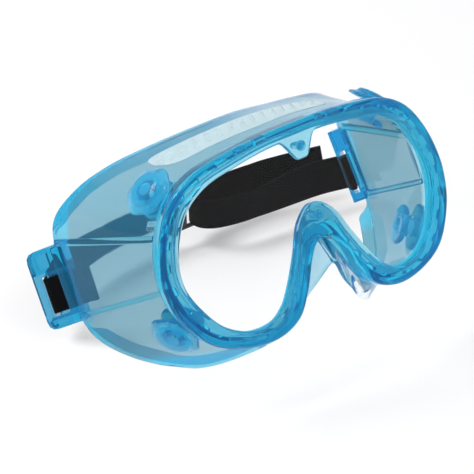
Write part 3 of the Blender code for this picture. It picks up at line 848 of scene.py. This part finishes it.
def make_nose_web():
    """The thin web that hangs from the rim under the arch of the nose, with a beaded lower edge."""
    half = [(station, Vector(edge)) for station, edge in WEB_EDGE]
    rows = half + [(2 * LAST - station, mirror_point(-1, edge)) for station, edge in half[-2::-1]]
    sections = []
    for i, (station, edge) in enumerate(rows):
        place = Place(station)
        root = place.rim(place.width - 0.4, WEB_ROOT_DEPTH)
        along = (rows[min(i + 1, len(rows) - 1)][1] - rows[max(i - 1, 0)][1]).normalized()
        down = (edge - root).normalized()
        out = down.cross(along).normalized()
        half_wall = out * WEB_THICKNESS / 2
        bead = out * WEB_BEAD
        sections.append(rounded([
            (root + half_wall, 0), (edge - down * 2.0 + half_wall, 0.4), (edge - down * 1.4 + bead, 0.4),
            (edge + bead, 0.6), (edge - bead, 0.6), (edge - down * 1.4 - bead, 0.4),
            (edge - down * 2.0 - half_wall, 0.4), (root - half_wall, 0),
        ]))
    return swept("nose_web", sections)


def make_lens():
    """The clear sheet, bent about a vertical axis and cut to the groove's outline."""
    outline = []
    for station in np.linspace(0, 2 * LAST, 640, endpoint=False):
        place = Place(station)
        reach = LENS_IN_GROOVE
        if place.fold > LAST - 2:
            reach += NOSE_GROOVE_EXTRA * bump(place.edge[0], 2 * NOSE_GROOVE_HALF_WIDTH)
        outline.append(place.edge + place.unit * reach)
    outline = np.array(outline)
    widest = float(outline[:, 0].max()) * 0.9995
    sections = []
    for k in range(-70, 71):
        u = widest * math.sin(0.5 * math.pi * k / 70)
        heights = []
        for (u0, v0), (u1, v1) in zip(outline, np.roll(outline, -1, axis=0)):
            if (u0 - u) * (u1 - u) <= 0 and u0 != u1:
                heights.append(v0 + (u - u0) / (u1 - u0) * (v1 - v0))
        low, high = min(heights), max(max(heights), min(heights) + 0.4)
        corners = ((low, 0.0), (high, 0.0), (high, LENS_THICKNESS), (low, LENS_THICKNESS))
        sections.append([on_lens(u, v, depth) for v, depth in corners])
    lens = swept("lens_sheet", sections)
    combine(lens, joined("holes", peg_holes()), "DIFFERENCE")
    return lens


def make_peg(name, height):
    """A rivet with a dimpled head in front of the rim's lip."""
    head = -LIP_FRONT
    profile = ((0, head + 1.0), (0.7, head + 1.05), (0.9, head + 1.5), (1.6, head + 1.35), (2.2, head + 0.9),
               (2.3, head + 0.3), (1.3, head + 0.3), (1.3, -3.9), (0, -3.9))
    return turned(name, profile, Vector((0, 0, height)), Vector((0, -1, 0)), 32)


def make_cap(name, side):
    """A mushroom cap: a lobed flange, a dome and a hollow stem."""
    base, axis = vent_place(name, side)
    foot = -CAD_WALL - SEAT_THICKNESS - SEAT_SETBACK
    top = CAP_STANDOFF
    profile = (
        (0, top + 0.8), (2.9, top + 0.6), (2.9, foot), (4.2, foot), (4.2, top - 1.1), (4.8, top - 0.6),
        (CAP_RADIUS - 0.9, top - 1.8), (CAP_RADIUS - 0.2, top - 1.7), (CAP_RADIUS, top - 1.2),
        (CAP_RADIUS - 0.3, top - 0.6), (9.6, top + 0.1), (CAP_DOME_RADIUS + 0.3, top + 0.5),
        (CAP_DOME_RADIUS - 0.2, top + 1.2), (CAP_DOME_RADIUS - 0.7, top + 2.0), (6.2, top + 2.5),
        (4.2, top + 2.85), (2.0, top + 3.0), (0, top + 3.05),
    )
    return turned("cap", profile, base, axis, 96, 6, 1.1, CAP_DOME_RADIUS)


def make_seat(name, side):
    """The round collar on a cap's stem, inside the wall."""
    base, axis = vent_place(name, side)
    low, high = -CAD_WALL - 0.3 - SEAT_THICKNESS, -CAD_WALL - 0.3
    middle = 0.5 * (low + high)
    profile = []
    for k in range(13):
        angle = math.radians(-90 + 15 * k)
        reach = SEAT_RADIUS - SEAT_ROUND + SEAT_ROUND * math.cos(angle)
        profile.append((reach, middle + SEAT_ROUND * math.sin(angle)))
    profile += [(SEAT_BORE_RADIUS, high - 0.2), (SEAT_BORE_RADIUS, low + 0.2)]
    return turned("seat", profile, base - axis * SEAT_SETBACK, axis, 72)


# ---------------------------------------------------------------- strap

def level(x, y, z):
    """A point given in the resting pose, from the lens's middle, in the goggles' own frame."""
    return Vector((
        x,
        y * math.cos(REST_TILT) - z * math.sin(REST_TILT),
        y * math.sin(REST_TILT) + z * math.cos(REST_TILT),
    ))


def upright(side, place):
    """The direction a strap's width takes: the ear's own up in the ear, straight up in the free stretch."""
    origin, _, ear_up, _ = ear_frame(side)
    away = (place - origin).length - 1.3 * EAR_LENGTH
    return ear_up.lerp(level(0, 0, 1), min(max(away / STRAP_TWIST_LENGTH, 0.0), 1.0))


def ear_path(side):
    """The strap's way from its hem, along the panel, through the sleeve and round the inner plate."""
    def spot(along, out):
        return ear_point(side, along, STRAP_IN_EAR_UP, out)

    turn_out = SLOT_IN - 1.0
    turn_radius = STRAP_IN_EAR_OUT - turn_out
    start = spot(EAR_FRONT - 3, STRAP_IN_EAR_OUT)
    hem = Vector((start.x - side * 1.3, start.y - HEM_AHEAD, start.z + 0.4))
    points = [hem, hem.lerp(start, 0.7), start]
    points += [spot(along, STRAP_IN_EAR_OUT) for along in (EAR_FRONT, 0, 4, 8, INNER_PLATE_END - 0.4)]
    for degrees in (-50, -10, 20):
        angle = math.radians(degrees)
        round_end = INNER_PLATE_END + turn_radius * math.cos(angle)
        points.append(spot(round_end, turn_out - turn_radius * math.sin(angle)))
    return points


def make_strap(name, side, route):
    """One elastic strap, ribbed along its length, from the hem in its ear to its other end."""
    path = smooth_path(ear_path(side) + [level(x, y, STRAP_LEVEL) for x, y in route], 1.0)
    across_count = 6 * STRAP_RIBS
    half = STRAP_THICKNESS / 2
    sections = []
    lengths = [0.0]
    for i, place in enumerate(path):
        heading = (path[min(i + 1, len(path) - 1)] - path[max(i - 1, 0)]).normalized()
        if i:
            lengths.append(lengths[-1] + (place - path[i - 1]).length)
        width = upright(side, place)
        up = (width - width.dot(heading) * heading).normalized()
        across = heading.cross(up)
        hem = HEM_THICKNESS - STRAP_THICKNESS if lengths[-1] < HEM_LENGTH else 0.0
        front, rear = [], []
        for k in range(across_count + 1):
            v = k / across_count
            rib = STRAP_RIB_HEIGHT * math.sqrt(abs(math.sin(math.pi * STRAP_RIBS * v)))
            border = half - 0.45 * (1 - min(v, 1 - v) / 0.03) if min(v, 1 - v) < 0.03 else half
            high = border - STRAP_RIB_HEIGHT + rib
            h = (v - 0.5) * STRAP_WIDTH
            front.append(place + up * h + across * (high + (hem if side < 0 else 0)))
            rear.append(place + up * h - across * (high + (hem if side > 0 else 0)))
        sections.append(front + rear[::-1])
    strap = swept(name, sections, sharp=60.0)
    along = strap.data.uv_layers.new(name="along")
    count = len(sections[0])
    for loop in strap.data.loops:
        ring, k = divmod(loop.vertex_index, count)
        v = k if k <= across_count else count - 1 - k
        along.data[loop.index].uv = (lengths[ring] * 0.001, v / across_count * STRAP_WIDTH * 0.001)
    return strap


def make_slider():
    """The strap adjuster: two rails and three rounded bars."""
    x, y = SLIDER_PLACE
    bars = []

    def bar(name, xs, zs, thick):
        sections = []
        for px in xs:
            corners = ((-thick, zs[0]), (thick, zs[0]), (thick, zs[1]), (-thick, zs[1]))
            sections.append([level(x + px, y + dy, STRAP_LEVEL + dz) for dy, dz in corners])
        thing = swept(name, sections)
        soften(thing, 0.55, 3)
        return thing

    slider = bar("strap_adjuster", (-8.4, 8.8), (-10.5, -8.7), 0.95)
    bars.append(bar("rail", (-8.4, 8.8), (8.7, 10.5), 0.95))
    bars += [bar("bar", (offset - 1.1, offset + 1.1), (-9.9, 9.9), 0.85) for offset in SLIDER_BAR_OFFSETS]
    for piece in bars:
        combine(slider, piece, "UNION")
    return slider


# ---------------------------------------------------------------- assembly

def finish_piece(thing, name, material, body, slot, *nodes):
    """Name a piece, give it its material, and say what it rides on and which nodes it replaces.

    Blue pieces leave no shadow on the table: their colour would fill it.
    """
    thing.name = name
    thing.data.materials.clear()
    thing.data.materials.append(material)
    if body:
        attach(thing, body)
    if material in (PVC, CAP_PLASTIC):
        thing.visible_shadow = False
        thing.visible_diffuse = False
    if nodes:
        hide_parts(*nodes)
    return thing


finish_piece(make_mask(), "mask_body", PVC, "mask", "blue_pvc", "frame_body")
finish_piece(make_brow_panel(), "brow_panel", FROSTED, "mask", "blue_pvc")
finish_piece(make_nose_web(), "nose_web", PVC, "mask", "blue_pvc")
finish_piece(make_lens(), "lens_sheet", LENS_CLEAR, "mask", "clear_lens", "lens")
for where, peg_height in (("top", PEG_TOP_HEIGHT), ("nose", PEG_NOSE_HEIGHT)):
    finish_piece(make_peg("peg", peg_height), f"rivet_{where}", CAP_PLASTIC,
                 "mask", "clear_peg", f"lens_peg_{where}")
for side, tag in ((1, "left"), (-1, "right")):
    for where in VENTS:
        finish_piece(make_cap(where, side), f"vent_dome_{where}_{tag}", CAP_PLASTIC,
                     f"cap {where} {tag}", "vent_cap", f"vent_cap_{where}_{tag}")
        finish_piece(make_seat(where, side), f"vent_collar_{where}_{tag}", CAP_PLASTIC,
                     "mask", "vent_seat", f"vent_seat_{where}_{tag}")
for side, tag, route in ((1, "left", LEFT_ROUTE), (-1, "right", RIGHT_ROUTE)):
    strap = finish_piece(make_strap("elastic", side, route), f"elastic_{tag}", ELASTIC, None, "black_elastic",
                         f"strap_end_{tag}", f"head_strap_{tag}")
    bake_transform(strap)
finish_piece(make_slider(), "strap_adjuster", NYLON, "strap", "black_nylon", "strap_slider")


# ---------------------------------------------------------------- table, light and camera

def studio():
    """A plain white table under a soft white sky, with one large lamp behind and to the left."""
    bpy.ops.mesh.primitive_plane_add(size=6)
    table = bpy.context.object
    table.name = "table_top"
    material, nodes, links, shader, _ = new_material("white_table")
    shader.inputs["Base Color"].default_value = (0.86, 0.86, 0.87, 1)
    shader.inputs["Roughness"].default_value = 0.9
    table.data.materials.append(material)
    world = bpy.data.worlds.new("studio")
    bpy.context.scene.world = world
    world.use_nodes = True
    world.node_tree.nodes["Background"].inputs["Color"].default_value = (1, 1, 1, 1)
    world.node_tree.nodes["Background"].inputs["Strength"].default_value = 0.72
    for name, place, size, power in (
        ("key", (-0.55, 0.55, 1.1), 0.6, 9.5),
        ("front_fill", (0.5, -0.9, 0.8), 0.8, 2.5),
    ):
        lamp = bpy.data.objects.new(name, bpy.data.lights.new(name, "AREA"))
        bpy.context.scene.collection.objects.link(lamp)
        lamp.data.shape = "DISK"
        lamp.data.size = size
        lamp.data.energy = power
        lamp.location = place
        aim = Vector((0, 0, 0.04)) - lamp.location
        lamp.rotation_euler = aim.to_track_quat("-Z", "Y").to_euler()
    bpy.context.scene.view_settings.view_transform = "Standard"


def camera():
    """The camera looks from the front left and above, turned a little so the goggles sit right of centre."""
    azimuth, elevation = math.radians(-38.0), math.radians(33.58)
    back = Vector((
        math.sin(azimuth) * math.cos(elevation),
        -math.cos(azimuth) * math.cos(elevation),
        math.sin(elevation),
    ))
    right = Vector((math.cos(azimuth), math.sin(azimuth), 0))
    up = back.cross(right)
    distance = 0.9
    place = LENS_PLACE + back * distance
    target = LENS_PLACE - right * 0.03368 - up * 0.00727
    back = (place - target).normalized()
    right = (right - right.dot(back) * back).normalized()
    up = back.cross(right)
    data = bpy.data.cameras.new("camera")
    data.sensor_width = 36
    data.lens = 162.7
    data.clip_start = 0.01
    view = bpy.data.objects.new("camera", data)
    bpy.context.scene.collection.objects.link(view)
    view.matrix_world = Matrix.Translation(place) @ Matrix((
        (right.x, up.x, back.x, 0), (right.y, up.y, back.y, 0), (right.z, up.z, back.z, 0), (0, 0, 0, 1)))
    bpy.context.scene.camera = view


studio()
camera()
